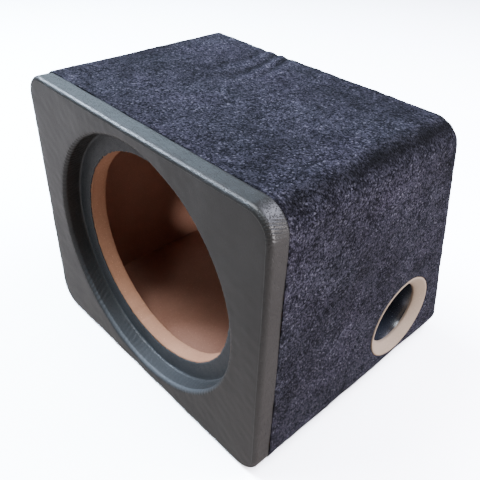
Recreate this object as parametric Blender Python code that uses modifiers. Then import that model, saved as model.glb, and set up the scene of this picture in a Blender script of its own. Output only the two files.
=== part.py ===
"""Slant-back car subwoofer enclosure, unloaded: a carpeted fibreboard box with a wrapped
front frame, a recessed seat for the driver, a side port and a push terminal at the back.

Metres, +Z up. The origin is the middle of the box's footprint, and the front faces -Y.
"""

import math

import bmesh
import bpy
from mathutils import Matrix, Vector

MM = 0.001

# Driving dimensions
WIDTH = 360 * MM  # over the carpet
HEIGHT = 308 * MM  # over the carpet
DEPTH_TOP = 248 * MM  # front face to the back's upper edge
DEPTH_BOTTOM = 323 * MM  # front face to the back's lower edge
CORNER_RADIUS = 26 * MM  # of the four long edges, over the carpet
BOARD = 18 * MM  # fibreboard, all panels
CARPET = 1.8 * MM
LEATHERETTE = 0.8 * MM
GAP = 0.3 * MM  # between pieces that touch

# Front frame and driver seat
FRAME_INSET = 0.6 * MM  # the frame stands this much inside the carpet's outline
EDGE_ROUND = 5 * MM  # round-over of the frame's outer edge and of the recess's lip
RECESS_RADIUS = 138 * MM  # wall of the recess, on the leatherette
CUTOUT_RADIUS = 116 * MM  # hole that the driver's basket drops into
CARPET_FLAP = 15 * MM  # carpet folded in behind the frame

# Port
PORT_ABOVE_BASE = 5.3 * MM  # between the ring and the bottom panel
PORT_OFF_BACK = 6.72 * MM  # between the ring and the rear panel
TUBE_BORE_RADIUS = 38 * MM
TUBE_WALL = 3 * MM
TUBE_LENGTH = 230 * MM
MOUTH_WIDTH = 13 * MM  # radial width of the ring's face, from the bore to its rim
MOUTH_RIM = 2 * MM  # flat part of that, at the rim
MOUTH_DEPTH = 9 * MM  # of the dish inside the rim
MOUTH_CURVE = 1.4  # 1 would be a plain cone
SHOULDER_DEPTH = 11 * MM  # of the step in the ring that the tube's end meets

# Push terminal
TERMINAL_HEIGHT = 185 * MM
CUP_RADIUS = 30 * MM  # inside
CUP_DEPTH = 14 * MM  # from the carpet's face to the cup's floor
CUP_WALL = 2 * MM
CUP_FLOOR = 2.5 * MM
FLANGE_RADIUS = 42 * MM
FLANGE = 3 * MM
GASKET = 1.4 * MM
LEVER_WIDTH = 13 * MM
RIB = 2 * MM
PIN_RADIUS = 1 * MM
PIN_CLEARANCE = 0.25 * MM
PIVOT_UP = 9 * MM  # the hinge pin, above the cup's centre
PIVOT_BELOW_FACE = 7 * MM
RIB_TOP_BELOW_FACE = 4 * MM
SPRING_RADIUS = 2.3 * MM
SPRING_WIRE = 0.3 * MM  # radius
SPRING_TURNS = 4
SPRING_UP = 1 * MM  # the springs, above the cup's centre
CONTACT_WIDTH = 6 * MM
CONTACT = 0.6 * MM
CONTACT_DOWN = 8 * MM  # the contacts' slots, below the cup's centre
CONTACT_TAIL = 14 * MM  # of the blade, behind the cup

# Screws
SHANK_RADIUS = 2 * MM
HEAD_RADIUS = 4 * MM
CARCASS_SCREW = 45 * MM
FRAME_SCREW_BITE = 10 * MM  # how far a frame screw runs into the frame
FRAME_SCREW_IN = 11.5 * MM  # from the side panels' and the top panel's inner faces
FRAME_SCREW_WALL = 12 * MM  # from the recess's edge, beside the driver
FRAME_SCREW_SPREAD = 35 * MM  # above and below the driver's centre
BAFFLE_SCREW_SPREAD = 94 * MM
REAR_SCREW_FROM_END = 44.5 * MM  # along the slope, from the back's upper and lower edges
TERMINAL_SCREW_LENGTH = 16 * MM
TERMINAL_SCREW_SHANK = 1.4 * MM
TERMINAL_SCREW_HEAD = 3 * MM
TERMINAL_SCREW_PAN = 2 * MM

# Facets
ARC_STEPS = 6
SIDE_STEPS = 10
HOLE_STEPS = 64
PORT_STEPS = 48
SCREW_STEPS = 10
PIN_STEPS = 12

# Worked out: places along Y, from the front face back
FRONT = -DEPTH_BOTTOM / 2
FRAME_FRONT = FRONT + LEATHERETTE + GAP
FRAME_BACK = FRAME_FRONT + BOARD
FLAP_FRONT = FRAME_BACK + GAP
BAFFLE_FRONT = FLAP_FRONT + CARPET + GAP
SEAT = BAFFLE_FRONT - GAP - LEATHERETTE
BAFFLE_BACK = BAFFLE_FRONT + BOARD
CARCASS_FRONT = BAFFLE_BACK + GAP

# Worked out: sideways and upwards
WOOD_INSET = CARPET + GAP
INNER_X = WIDTH / 2 - WOOD_INSET - BOARD
INNER_BOTTOM = WOOD_INSET + BOARD
INNER_TOP = HEIGHT - INNER_BOTTOM
SLANT = math.atan((DEPTH_BOTTOM - DEPTH_TOP) / HEIGHT)
BACK_NORMAL = Vector((0, math.cos(SLANT), math.sin(SLANT)))
BACK_MIDDLE = Vector((0, FRONT + (DEPTH_TOP + DEPTH_BOTTOM) / 2, HEIGHT / 2))
DRIVER_HEIGHT = HEIGHT / 2
CUP_OUTER = CUP_RADIUS + CUP_WALL
CUP_HOLE = CUP_OUTER + 1 * MM
GASKET_BACK = GAP
FLANGE_BACK = GASKET_BACK + GASKET + GAP
FLANGE_FRONT = FLANGE_BACK + FLANGE
REAR_SCREW_SPREAD = HEIGHT / 2 / math.cos(SLANT) - REAR_SCREW_FROM_END
LEVER_X = RIB / 2 + GAP + LEVER_WIDTH / 2
RIB_X = LEVER_X + LEVER_WIDTH / 2 + GAP + RIB / 2
BIG = 2 * max(WIDTH, HEIGHT, DEPTH_BOTTOM)  # longer than anything, for cutters


def back_y(z):
    """Y of the back's outer face at height z."""
    return FRONT + DEPTH_TOP + (DEPTH_BOTTOM - DEPTH_TOP) * (1 - z / HEIGHT)


# Worked out: the port, in the corner between the bottom panel and the rear panel
TUBE_RADIUS = TUBE_BORE_RADIUS + TUBE_WALL
RING_BORE_RADIUS = TUBE_RADIUS + GAP
RING_RADIUS = TUBE_BORE_RADIUS + MOUTH_WIDTH
PORT_HEIGHT = INNER_BOTTOM + PORT_ABOVE_BASE + RING_RADIUS
PORT_Y = back_y(PORT_HEIGHT) - (
    WOOD_INSET + BOARD + PORT_OFF_BACK + RING_RADIUS
) / math.cos(SLANT)


# ---------------------------------------------------------------- scene and materials

for old in list(bpy.data.objects):
    bpy.data.objects.remove(old)

PARTS = bpy.data.collections.new("subwoofer_enclosure")
CUTTERS = bpy.data.collections.new("cutters")
for group in (PARTS, CUTTERS):
    bpy.context.scene.collection.children.link(group)
CUTTERS.hide_render = True


def finish(name, colour, roughness, metallic=0.0):
    material = bpy.data.materials.new(name)
    material.use_nodes = True
    shader = material.node_tree.nodes["Principled BSDF"]
    shader.inputs["Base Color"].default_value = (*colour, 1)
    shader.inputs["Roughness"].default_value = roughness
    shader.inputs["Metallic"].default_value = metallic
    return material


FIBREBOARD = finish("fibreboard", (0.42, 0.25, 0.15), 0.8)
VINYL = finish("leatherette", (0.07, 0.07, 0.068), 0.45)
PILE = finish("carpet", (0.035, 0.037, 0.05), 0.95)
PIPE = finish("port_plastic", (0.03, 0.035, 0.04), 0.2)
ABS = finish("terminal_plastic", (0.02, 0.02, 0.02), 0.4)
RED = finish("red_plastic", (0.5, 0.02, 0.02), 0.35)
BLACK = finish("black_plastic", (0.015, 0.015, 0.015), 0.35)
FOAM = finish("foam", (0.03, 0.03, 0.03), 0.9)
BRASS = finish("brass", (0.72, 0.52, 0.22), 0.3, 1.0)
STEEL = finish("screw_steel", (0.5, 0.5, 0.5), 0.35, 1.0)


# ---------------------------------------------------------------- modelling helpers

def add(name, mesh, material=None, parent=None):
    """A new object: a part when it has a material, otherwise a cutter."""
    obj = bpy.data.objects.new(name, mesh)
    if material:
        mesh.materials.append(material)
        PARTS.objects.link(obj)
    else:
        CUTTERS.objects.link(obj)
        obj.hide_render = True
        obj.display_type = "WIRE"
    obj.parent = parent
    return obj


def block(name, low, high, material=None, parent=None):
    """A box between two corners."""
    low, high = Vector(low), Vector(high)
    shape = bmesh.new()
    bmesh.ops.create_cube(shape, size=1, matrix=Matrix.Diagonal((*(high - low), 1)))
    mesh = bpy.data.meshes.new(name)
    shape.to_mesh(mesh)
    shape.free()
    obj = add(name, mesh, material, parent)
    obj.location = (low + high) / 2
    return obj


def rod(name, radius, length, steps, material=None, parent=None):
    """A cylinder along its own X axis, centred."""
    shape = bmesh.new()
    bmesh.ops.create_cone(
        shape, cap_ends=True, segments=steps, radius1=radius, radius2=radius,
        depth=length, matrix=Matrix.Rotation(math.pi / 2, 4, "Y"),
    )
    mesh = bpy.data.meshes.new(name)
    shape.to_mesh(mesh)
    shape.free()
    return add(name, mesh, material, parent)


def turned(name, profile, steps, material=None, parent=None, closed=False):
    """A profile of (radius, height) turned about the object's own Z axis."""
    mesh = bpy.data.meshes.new(name)
    count = len(profile)
    edges = [(i, (i + 1) % count) for i in range(count if closed else count - 1)]
    mesh.from_pydata([(radius, 0, height) for radius, height in profile], edges, [])
    obj = add(name, mesh, material, parent)
    screw = obj.modifiers.new("turn", "SCREW")
    screw.steps = screw.render_steps = steps
    screw.use_merge_vertices = True
    screw.merge_threshold = 1e-5
    screw.use_smooth_shade = False
    return obj


def flat_solid(name, loops, thickness, material=None, parent=None):
    """Closed loops of (x, y), the later ones holes, made a plate centred on its own Z."""
    curve = bpy.data.curves.new(name, "CURVE")
    curve.dimensions = "2D"
    curve.fill_mode = "BOTH"
    curve.extrude = thickness / 2
    for loop in loops:
        spline = curve.splines.new("POLY")
        spline.points.add(len(loop) - 1)
        for point, (x, y) in zip(spline.points, loop):
            point.co = (x, y, 0, 1)
        spline.use_cyclic_u = True
    outline = bpy.data.objects.new(name + "_outline", curve)
    bpy.context.scene.collection.objects.link(outline)
    graph = bpy.context.evaluated_depsgraph_get()
    mesh = bpy.data.meshes.new_from_object(outline.evaluated_get(graph))
    bpy.data.objects.remove(outline)
    shape = bmesh.new()
    shape.from_mesh(mesh)
    bmesh.ops.remove_doubles(shape, verts=shape.verts, dist=1e-6)
    bmesh.ops.recalc_face_normals(shape, faces=shape.faces)
    shape.to_mesh(mesh)
    shape.free()
    return add(name, mesh, material, parent)


def boolean(obj, tool, operation="DIFFERENCE"):
    """Cuts, joins or keeps, with an object or with every object of a collection."""
    modifier = obj.modifiers.new(tool.name, "BOOLEAN")
    modifier.operation = operation
    modifier.solver = "EXACT"
    if isinstance(tool, bpy.types.Collection):
        modifier.operand_type = "COLLECTION"
        modifier.collection = tool
    else:
        modifier.object = tool


def cutter_group(name):
    group = bpy.data.collections.new(name)
    CUTTERS.children.link(group)
    return group


def circle(radius, steps, centre=(0, 0)):
    turns = [2 * math.pi * i / steps for i in range(steps)]
    return [(centre[0] + radius * math.cos(t), centre[1] + radius * math.sin(t)) for t in turns]


def stations(side_steps):
    """Round the box's rounded outline, as (core point, outward direction) pairs: the
    outline at any inset is core + direction * (corner radius - inset). Along the sides
    they stand at even angles about the driver's centre."""
    found = []
    half, base, top = WIDTH / 2 - CORNER_RADIUS, CORNER_RADIUS, HEIGHT - CORNER_RADIUS
    corners = [(half, top), (-half, top), (-half, base), (half, base)]
    for index, corner in enumerate(corners):
        for step in range(ARC_STEPS + 1):
            turn = math.pi / 2 * (index + step / ARC_STEPS)
            found.append((Vector(corner), Vector((math.cos(turn), math.sin(turn)))))
        turn = math.pi / 2 * (index + 1)
        way = Vector((math.cos(turn), math.sin(turn)))
        along = Vector((-way.y, way.x))
        start = Vector(corner) + way * CORNER_RADIUS - Vector((0, DRIVER_HEIGHT))
        run = (Vector(corners[(index + 1) % 4]) - Vector(corner)).length
        away = start.dot(way)
        first = math.atan2(start.dot(along), away)
        last = math.atan2(start.dot(along) + run, away)
        for step in range(1, side_steps):
            reach = away * math.tan(first + (last - first) * step / side_steps)
            found.append((Vector(corner) + along * (reach - start.dot(along)), way))
    return found


def outline(inset):
    """The box's rounded outline in X and Z, drawn in by the inset."""
    return [tuple(core + way * (CORNER_RADIUS - inset)) for core, way in stations(1)]


def upright_plate(name, loops, y_low, y_high, material=None):
    """A plate standing square to Y, from loops of (x, z)."""
    obj = flat_solid(name, loops, y_high - y_low, material)
    obj.rotation_euler = (math.pi / 2, 0, 0)
    obj.location.y = (y_low + y_high) / 2
    return obj


def back_slab(name, offset, thickness, material=None):
    """A slab along the back, its outer face this far inside the back's outer face."""
    reach = Vector((BIG / 2, thickness / 2, BIG / 2))
    slab = block(name, -reach, reach, material)
    slab.rotation_euler = (SLANT, 0, 0)
    slab.location = BACK_MIDDLE - BACK_NORMAL * (offset + thickness / 2)
    return slab


def rings_surface(name, rings, material, closed):
    """Rings of points, each joined to the next, and the last to the first if closed."""
    count = len(rings[0])
    points = [point for ring in rings for point in ring]
    faces = []
    for row in range(len(rings) if closed else len(rings) - 1):
        near, far = row * count, (row + 1) % len(rings) * count
        for i in range(count):
            j = (i + 1) % count
            faces.append((near + i, near + j, far + j, far + i))
    mesh = bpy.data.meshes.new(name)
    mesh.from_pydata(points, [], faces)
    return add(name, mesh, material)


# ---------------------------------------------------------------- cutters for the box

WOOD_SHAPE = upright_plate("wood_shape", [outline(WOOD_INSET)], FRONT, FRONT + BIG)
BEHIND_CARCASS = back_slab("behind_carcass", WOOD_INSET + BOARD + GAP - BIG, BIG)
BEHIND_BOX = back_slab("behind_box", -BIG, BIG)

FRAME_SCREW_HOLES = cutter_group("frame_screw_holes")
BAFFLE_SCREW_HOLES = cutter_group("baffle_screw_holes")
REAR_SCREW_HOLES = cutter_group("rear_screw_holes")
TERMINAL_SCREW_HOLES = cutter_group("terminal_screw_holes")

port_hole = rod("port_hole", RING_RADIUS + GAP, 4 * BOARD, PORT_STEPS)
port_hole.location = (WIDTH / 2, PORT_Y, PORT_HEIGHT)

TERMINAL = bpy.data.objects.new("terminal_place", None)
PARTS.objects.link(TERMINAL)
TERMINAL.location = (0, back_y(TERMINAL_HEIGHT), TERMINAL_HEIGHT)
TERMINAL.rotation_euler = (SLANT - math.pi / 2, 0, 0)  # its Z points out, its Y down

cup_hole = turned(
    "cup_hole",
    [(0, BOARD), (CUP_HOLE, BOARD), (CUP_HOLE, -2 * BOARD), (0, -2 * BOARD)],
    PORT_STEPS, parent=TERMINAL,
)


# ---------------------------------------------------------------- front frame and cover

def frame_rings(kinds):
    """Rings for the frame: each kind is (inset from the outline or None, radius, y)."""
    rings = []
    centre = Vector((0, DRIVER_HEIGHT))
    for inset, radius, y in kinds:
        ring = []
        for core, way in stations(SIDE_STEPS):
            if inset is None:
                edge = core + way * CORNER_RADIUS - centre
                spot = centre + edge.normalized() * radius
            else:
                spot = core + way * (CORNER_RADIUS - FRAME_INSET - inset)
            ring.append((spot.x, y, spot.y))
        rings.append(ring)
    return rings


def rounded_front(depth):
    """(inwards, backwards) steps of the frame's rounded edge, from the side to the face,
    on a layer that lies this deep under the leatherette's face."""
    radius = EDGE_ROUND - depth
    turns = [math.pi / 2 * i / 3 for i in range(4)]
    return [
        (EDGE_ROUND - radius * math.cos(t), EDGE_ROUND - radius * math.sin(t)) for t in turns
    ]


def leatherette_cover():
    """One sheet: round the frame's edge, over the face, down the recess and across the seat."""
    kinds = [(0, None, FRAME_BACK)]
    kinds += [(inward, None, FRONT + back) for inward, back in rounded_front(0)]
    lip = RECESS_RADIUS + EDGE_ROUND
    kinds += [
        (None, lip - EDGE_ROUND + inward, FRONT + back)
        for inward, back in reversed(rounded_front(0))
    ]
    kinds += [(None, RECESS_RADIUS, SEAT), (None, CUTOUT_RADIUS, SEAT)]
    cover = rings_surface("leatherette_cover", frame_rings(kinds), VINYL, closed=False)
    wall = cover.modifiers.new("thickness", "SOLIDIFY")
    wall.thickness = LEATHERETTE
    wall.offset = -1
    wall.use_even_offset = True
    return cover


def front_frame():
    """The board under the leatherette, with the recess's hole through it."""
    under = LEATHERETTE + GAP
    kinds = [(under, None, FRAME_BACK)]
    kinds += [(inward, None, FRONT + back) for inward, back in rounded_front(under)]
    kinds += [
        (None, RECESS_RADIUS + inward, FRONT + back)
        for inward, back in reversed(rounded_front(under))
    ]
    kinds += [(None, RECESS_RADIUS + under, FRAME_BACK)]
    frame = rings_surface("front_frame", frame_rings(kinds), FIBREBOARD, closed=True)
    boolean(frame, FRAME_SCREW_HOLES)
    return frame


# ---------------------------------------------------------------- carcass

def driver_baffle():
    hole = circle(CUTOUT_RADIUS, HOLE_STEPS, (0, DRIVER_HEIGHT))
    loops = [outline(WOOD_INSET), hole]
    baffle = upright_plate("driver_baffle", loops, BAFFLE_FRONT, BAFFLE_BACK, FIBREBOARD)
    boolean(baffle, FRAME_SCREW_HOLES)
    boolean(baffle, BAFFLE_SCREW_HOLES)


def carcass_board(name, low, high, tools=()):
    """A panel of the carcass, trimmed to the box's rounded outline and to the slant."""
    board = block(name, low, high, FIBREBOARD)
    boolean(board, WOOD_SHAPE, "INTERSECT")
    boolean(board, BEHIND_CARCASS)
    for tool in tools:
        boolean(board, tool)


def carcass():
    back = FRONT + DEPTH_BOTTOM + BOARD
    over = BOARD
    edge = WIDTH / 2 + over
    carcass_board(
        "top_panel", (-edge, CARCASS_FRONT, INNER_TOP), (edge, back, HEIGHT + over)
    )
    carcass_board(
        "bottom_panel", (-edge, CARCASS_FRONT, -over), (edge, back, INNER_BOTTOM)
    )
    screws = (BAFFLE_SCREW_HOLES, REAR_SCREW_HOLES)
    low, high = INNER_BOTTOM + GAP, INNER_TOP - GAP
    carcass_board(
        "left_panel", (-edge, CARCASS_FRONT, low), (-INNER_X, back, high), screws
    )
    carcass_board(
        "right_panel", (INNER_X, CARCASS_FRONT, low), (edge, back, high),
        (*screws, port_hole),
    )


def rear_panel():
    panel = back_slab("rear_panel", WOOD_INSET, BOARD, FIBREBOARD)
    boolean(panel, WOOD_SHAPE, "INTERSECT")
    boolean(panel, cup_hole)
    boolean(panel, REAR_SCREW_HOLES)
    boolean(panel, TERMINAL_SCREW_HOLES)


# ---------------------------------------------------------------- carpet

def carpet_wrap():
    """Carpet over both sides and the top, turned in behind the frame and under the base."""
    path = stations(1)
    first = 3 * (ARC_STEPS + 1)
    path = [*path[first:], *path[:first]]  # from the right lower corner round to the left one
    rows = [(CARPET_FLAP, False), (0, False), (0, True)]
    points = []
    for inset, at_back in rows:
        for core, way in path:
            spot = core + way * (CORNER_RADIUS - inset)
            y = back_y(spot.y) if at_back else FLAP_FRONT
            points.append((spot.x, y, spot.y))
    count = len(path)
    faces = []
    for row in range(len(rows) - 1):
        near, far = row * count, (row + 1) * count
        faces += [(near + i + 1, near + i, far + i, far + i + 1) for i in range(count - 1)]
    mesh = bpy.data.meshes.new("carpet_wrap")
    mesh.from_pydata(points, [], faces)
    wrap = add("carpet_wrap", mesh, PILE)
    pile = wrap.modifiers.new("pile", "SOLIDIFY")
    pile.thickness = CARPET
    pile.offset = -1
    pile.use_even_offset = True
    boolean(wrap, port_hole)


def carpet_base():
    reach = WIDTH / 2 - CORNER_RADIUS - GAP
    base = block(
        "carpet_base", (-reach, FLAP_FRONT, 0), (reach, FRONT + DEPTH_BOTTOM + BOARD, CARPET), PILE
    )
    boolean(base, BEHIND_BOX)


def carpet_rear():
    rear = back_slab("carpet_rear", 0, CARPET, PILE)
    boolean(rear, WOOD_SHAPE, "INTERSECT")
    boolean(rear, cup_hole)
    boolean(rear, TERMINAL_SCREW_HOLES)


# ---------------------------------------------------------------- port

def port():
    """A turned ring in the side panel, and the pipe glued into it. Both turn about X."""
    turn_to_x = (0, math.pi / 2, 0)
    inner_end = -(WOOD_INSET + BOARD)
    reach = MOUTH_WIDTH - MOUTH_RIM
    dish = [
        (TUBE_BORE_RADIUS + reach * (1 - share) ** MOUTH_CURVE, -MOUTH_DEPTH * share)
        for share in (1, 0.75, 0.5, 0.25, 0)
    ]
    profile = [
        *dish,
        (RING_RADIUS, 0),
        (RING_RADIUS, inner_end),
        (RING_BORE_RADIUS, inner_end),
        (RING_BORE_RADIUS, -SHOULDER_DEPTH),
        (TUBE_BORE_RADIUS, -SHOULDER_DEPTH),
    ]
    ring = turned("port_ring", profile, PORT_STEPS, FIBREBOARD, closed=True)
    mouth = -SHOULDER_DEPTH - GAP
    pipe = [
        (TUBE_BORE_RADIUS, mouth),
        (TUBE_RADIUS, mouth),
        (TUBE_RADIUS, mouth - TUBE_LENGTH),
        (TUBE_BORE_RADIUS, mouth - TUBE_LENGTH),
    ]
    tube = turned("port_tube", pipe, PORT_STEPS, PIPE, closed=True)
    for obj in (ring, tube):
        obj.rotation_euler = turn_to_x
        obj.location = (WIDTH / 2, PORT_Y, PORT_HEIGHT)


# ---------------------------------------------------------------- push terminal

def terminal_cup():
    floor = -CUP_DEPTH
    cup = turned(
        "terminal_cup",
        [
            (0, floor),
            (CUP_RADIUS, floor),
            (CUP_RADIUS, FLANGE_FRONT - 1 * MM),
            (CUP_RADIUS + 1 * MM, FLANGE_FRONT),
            (FLANGE_RADIUS - 1 * MM, FLANGE_FRONT),
            (FLANGE_RADIUS, FLANGE_FRONT - 1 * MM),
            (FLANGE_RADIUS, FLANGE_BACK),
            (CUP_OUTER, FLANGE_BACK),
            (CUP_OUTER, floor - CUP_FLOOR),
            (0, floor - CUP_FLOOR),
        ],
        PORT_STEPS, ABS, TERMINAL,
    )
    rib_up, rib_down = PIVOT_UP + 4 * MM, PIVOT_UP + 2 * MM
    for number, x in enumerate((-RIB_X, 0, RIB_X), 1):
        rib = block(
            f"hinge_rib_{number}",
            (x - RIB / 2, -rib_up, floor - CUP_FLOOR / 2),
            (x + RIB / 2, rib_down, -RIB_TOP_BELOW_FACE),
            parent=TERMINAL,
        )
        boolean(cup, rib, "UNION")
    eye = rod(
        "rib_eye", PIN_RADIUS + PIN_CLEARANCE, 2 * RIB_X + 2 * RIB, PIN_STEPS, parent=TERMINAL
    )
    eye.location = (0, -PIVOT_UP, -PIVOT_BELOW_FACE)
    boolean(cup, eye)
    for side in (-1, 1):
        slot = block(
            f"contact_slot_{side}",
            (side * LEVER_X - CONTACT_WIDTH / 2 - GAP, CONTACT_DOWN - GAP, floor - 2 * CUP_FLOOR),
            (side * LEVER_X + CONTACT_WIDTH / 2 + GAP, CONTACT_DOWN + CONTACT + GAP, floor + GAP),
            parent=TERMINAL,
        )
        boolean(cup, slot)
    boolean(cup, TERMINAL_SCREW_HOLES)


def terminal_gasket():
    gasket = turned(
        "terminal_gasket",
        [
            (CUP_HOLE, GASKET_BACK + GASKET),
            (FLANGE_RADIUS - 1 * MM, GASKET_BACK + GASKET),
            (FLANGE_RADIUS - 1 * MM, GASKET_BACK),
            (CUP_HOLE, GASKET_BACK),
        ],
        PORT_STEPS, FOAM, TERMINAL, closed=True,
    )
    boolean(gasket, TERMINAL_SCREW_HOLES)


def terminal_lever(name, side, material):
    """A finger plate on the hinge pin. Its origin is on the pin's axis; in the outline,
    the first number runs down from the pin and the second outwards."""
    plate = 3.5 * MM
    top = PIVOT_BELOW_FACE - RIB_TOP_BELOW_FACE
    tip = PIVOT_UP + 11 * MM
    knuckle = [
        (top * math.cos(turn), top * math.sin(turn))
        for turn in [math.pi / 2 + math.pi * i / 5 for i in range(6)]
    ]
    shape = [
        *knuckle,
        (4 * MM, top - plate),
        (PIVOT_UP + 3 * MM, top - plate),
        (PIVOT_UP + 3.5 * MM, -2.5 * MM),
        (PIVOT_UP + 6 * MM, -2.5 * MM),
        (PIVOT_UP + 6.5 * MM, top - plate),
        (tip, top - plate),
        (tip, top + 1.5 * MM),
        (tip - 2 * MM, top + 1.5 * MM),
        (tip - 4 * MM, top),
    ]
    eye = circle(PIN_RADIUS + PIN_CLEARANCE, PIN_STEPS)
    lever = flat_solid(name, [shape, eye], LEVER_WIDTH, material, TERMINAL)
    lever.rotation_euler = (math.pi / 2, 0, math.pi / 2)
    lever.location = (side * LEVER_X, -PIVOT_UP, -PIVOT_BELOW_FACE)


def terminal_spring(name, side):
    """A coil between the cup's floor and the lever's underside."""
    plate_under = -PIVOT_BELOW_FACE + (PIVOT_BELOW_FACE - RIB_TOP_BELOW_FACE) - 3.5 * MM
    low = -CUP_DEPTH + GAP + SPRING_WIRE
    high = plate_under - GAP - SPRING_WIRE
    per_turn = 10
    count = SPRING_TURNS * per_turn + 1
    curve = bpy.data.curves.new(name, "CURVE")
    curve.dimensions = "3D"
    curve.bevel_depth = SPRING_WIRE
    curve.bevel_resolution = 1
    curve.use_fill_caps = True
    spline = curve.splines.new("POLY")
    spline.points.add(count - 1)
    for i, point in enumerate(spline.points):
        turn = 2 * math.pi * i / per_turn
        height = low + (high - low) * i / (count - 1)
        point.co = (SPRING_RADIUS * math.cos(turn), SPRING_RADIUS * math.sin(turn), height, 1)
    curve.materials.append(STEEL)
    spring = bpy.data.objects.new(name, curve)
    PARTS.objects.link(spring)
    spring.parent = TERMINAL
    spring.location = (side * LEVER_X, -SPRING_UP, 0)


def terminal_contact(name, side):
    """A brass angle: a foot on the cup's floor, and a blade through it for the inner lead."""
    floor = -CUP_DEPTH + GAP
    foot = 6 * MM
    shape = [
        (-foot, floor + CONTACT),
        (-foot, floor),
        (0, floor),
        (0, floor - CUP_FLOOR - CONTACT_TAIL),
        (CONTACT, floor - CUP_FLOOR - CONTACT_TAIL),
        (CONTACT, floor + CONTACT),
    ]
    contact = flat_solid(name, [shape], CONTACT_WIDTH, BRASS, TERMINAL)
    contact.rotation_euler = (math.pi / 2, 0, math.pi / 2)
    contact.location = (side * LEVER_X, CONTACT_DOWN, 0)


def terminal():
    terminal_cup()
    terminal_gasket()
    pin = rod(
        "terminal_hinge_pin", PIN_RADIUS, 2 * RIB_X + RIB, PIN_STEPS, STEEL, TERMINAL
    )
    pin.location = (0, -PIVOT_UP, -PIVOT_BELOW_FACE)
    for colour, side, material in (("red", -1, RED), ("black", 1, BLACK)):
        terminal_lever(f"terminal_lever_{colour}", side, material)
        terminal_spring(f"terminal_spring_{colour}", side)
        terminal_contact(f"terminal_contact_{colour}", side)


# ---------------------------------------------------------------- screws

def screw_with_hole(name, group, place, into, profile, hole, parent=None):
    """A turned screw whose head faces away from the way it is driven, and its hole."""
    spin = (-Vector(into)).to_track_quat("Z", "Y")
    screw = turned(name, profile, SCREW_STEPS, STEEL, parent)
    cutter = turned(name + "_hole", hole, SCREW_STEPS, parent=parent)
    CUTTERS.objects.unlink(cutter)
    group.objects.link(cutter)
    for obj in (screw, cutter):
        obj.location = place
        obj.rotation_mode = "QUATERNION"
        obj.rotation_quaternion = spin


def countersunk(name, group, place, into, length):
    """A flush wood screw, its head's face at the given place."""
    cone = HEAD_RADIUS - SHANK_RADIUS
    rim = 0.5 * MM
    sunk = 0.2 * MM
    point = 4 * MM
    profile = [
        (0, -sunk),
        (HEAD_RADIUS, -sunk),
        (HEAD_RADIUS, -sunk - rim),
        (SHANK_RADIUS, -sunk - rim - cone),
        (SHANK_RADIUS, -length + point),
        (0, -length),
    ]
    hole = [
        (0, 1 * MM),
        (HEAD_RADIUS + GAP, 1 * MM),
        (HEAD_RADIUS + GAP, -sunk - rim - GAP),
        (SHANK_RADIUS + GAP, -sunk - rim - GAP - cone),
        (SHANK_RADIUS + GAP, -length - GAP),
        (0, -length - GAP),
    ]
    screw_with_hole(name, group, place, into, profile, hole)


def frame_screws():
    """Driven from inside the box through the baffle into the frame."""
    length = BOARD + 2 * GAP + CARPET + FRAME_SCREW_BITE
    corner_x = INNER_X - FRAME_SCREW_IN
    beside_x = RECESS_RADIUS + FRAME_SCREW_WALL
    up = INNER_TOP - FRAME_SCREW_IN
    down = INNER_BOTTOM + FRAME_SCREW_IN
    spots = [(corner_x, up), (corner_x, down)]
    spots += [(beside_x, DRIVER_HEIGHT + FRAME_SCREW_SPREAD)]
    spots += [(beside_x, DRIVER_HEIGHT - FRAME_SCREW_SPREAD)]
    number = 0
    for x, z in spots:
        for side in (-1, 1):
            number += 1
            countersunk(
                f"frame_screw_{number}", FRAME_SCREW_HOLES,
                (side * x, BAFFLE_BACK, z), (0, -1, 0), length,
            )


def baffle_screws():
    """Through the baffle's face into the front edges of the side panels."""
    x = INNER_X + BOARD / 2
    number = 0
    for side in (-1, 1):
        for step in (-1, 0, 1):
            number += 1
            z = HEIGHT / 2 + step * BAFFLE_SCREW_SPREAD
            countersunk(
                f"baffle_screw_{number}", BAFFLE_SCREW_HOLES,
                (side * x, BAFFLE_FRONT, z), (0, 1, 0), CARCASS_SCREW,
            )


def rear_screws():
    """Through the slanted back into the side panels, square to the back."""
    x = INNER_X + BOARD / 2
    up_slope = Vector((0, -math.sin(SLANT), math.cos(SLANT)))
    number = 0
    for side in (-1, 1):
        for step in (-1, 1):
            number += 1
            place = BACK_MIDDLE - BACK_NORMAL * WOOD_INSET
            place = place + up_slope * step * REAR_SCREW_SPREAD
            place.x = side * x
            countersunk(
                f"rear_screw_{number}", REAR_SCREW_HOLES, place, -BACK_NORMAL, CARCASS_SCREW
            )


def terminal_screws():
    """Pan-head screws through the flange, the gasket and the carpet into the back."""
    ring = (FLANGE_RADIUS + CUP_HOLE) / 2 + 0.5 * MM
    seat = FLANGE_FRONT + GAP
    end = seat - TERMINAL_SCREW_LENGTH
    profile = [
        (0, seat + TERMINAL_SCREW_PAN),
        (TERMINAL_SCREW_HEAD * 0.7, seat + TERMINAL_SCREW_PAN),
        (TERMINAL_SCREW_HEAD, seat + TERMINAL_SCREW_PAN * 0.4),
        (TERMINAL_SCREW_HEAD, seat),
        (TERMINAL_SCREW_SHANK, seat),
        (TERMINAL_SCREW_SHANK, end + 2 * MM),
        (0, end),
    ]
    clear = TERMINAL_SCREW_SHANK + GAP
    hole = [(0, seat + 1 * MM), (clear, seat + 1 * MM), (clear, end - GAP), (0, end - GAP)]
    for number in range(1, 5):
        turn = math.pi / 2 * (number - 0.5)
        place = (ring * math.cos(turn), ring * math.sin(turn), 0)
        screw_with_hole(
            f"terminal_screw_{number}", TERMINAL_SCREW_HOLES, place, (0, 0, -1),
            profile, hole, TERMINAL,
        )


# ---------------------------------------------------------------- assembly

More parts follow.
